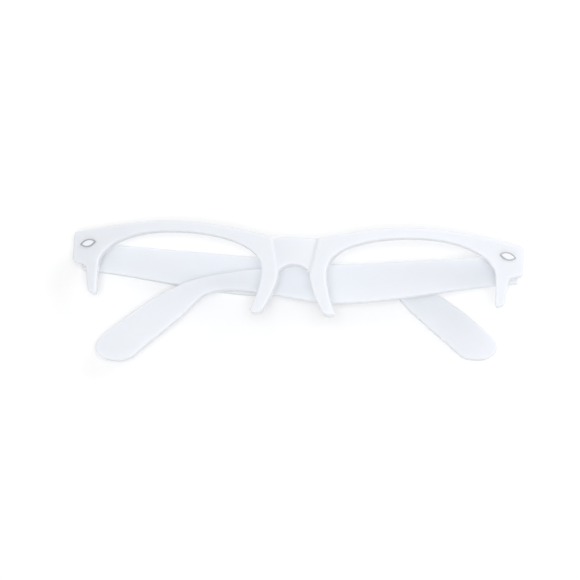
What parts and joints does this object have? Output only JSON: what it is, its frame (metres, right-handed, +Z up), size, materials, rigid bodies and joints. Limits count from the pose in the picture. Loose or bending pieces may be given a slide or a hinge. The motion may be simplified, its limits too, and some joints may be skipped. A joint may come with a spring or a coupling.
{
  "type": "folding spectacle frame",
  "caption": "Half-rim spectacle frame in white plastic, folded: curved brow front with open-bottomed eye rims, recessed bridge and hooked temples on screw hinges.",
  "frame": {"origin": "middle of the bounding box, on the table under the folded frame", "axes": "+X to the right along the front as seen from above, +Y towards the top of the worn front, +Z up from the table"},
  "size_m": [0.1419, 0.0436, 0.028],
  "materials": {
    "white_plastic": "satin moulded",
    "hinge_metal": "plated",
    "screw_steel": "plated",
    "pin_steel": "plain",
    "ornament_metal": "polished",
    "ornament_inlay": "polished"
  },
  "bodies": {
    "front": {"front_frame": "white_plastic", "left_front_leaf": "hinge_metal", "left_front_pin_lower": "pin_steel", "left_front_pin_upper": "pin_steel", "left_hinge_screw": "screw_steel", "left_ornament_inlay": "ornament_inlay", "left_ornament_ring": "ornament_metal", "right_front_leaf": "hinge_metal", "right_front_pin_lower": "pin_steel", "right_front_pin_upper": "pin_steel", "right_hinge_screw": "screw_steel", "right_ornament_inlay": "ornament_inlay", "right_ornament_ring": "ornament_metal"},
    "left_arm": {"left_temple": "white_plastic", "left_temple_leaf": "hinge_metal", "left_temple_pin_lower": "pin_steel", "left_temple_pin_upper": "pin_steel"},
    "right_arm": {"right_temple": "white_plastic", "right_temple_leaf": "hinge_metal", "right_temple_pin_lower": "pin_steel", "right_temple_pin_upper": "pin_steel"}
  },
  "joints": [
    {"name": "left_hinge", "type": "hinge", "parent": "front", "child": "left_arm", "pos_m": [-0.06562, 0.01366, 0.0052], "axis": [0, 1, 0], "range_deg": [0, 90]},
    {"name": "right_hinge", "type": "hinge", "parent": "front", "child": "right_arm", "pos_m": [0.06657, 0.01366, 0.0156], "axis": [0, -1, 0], "range_deg": [-3, 1]}
  ]
}
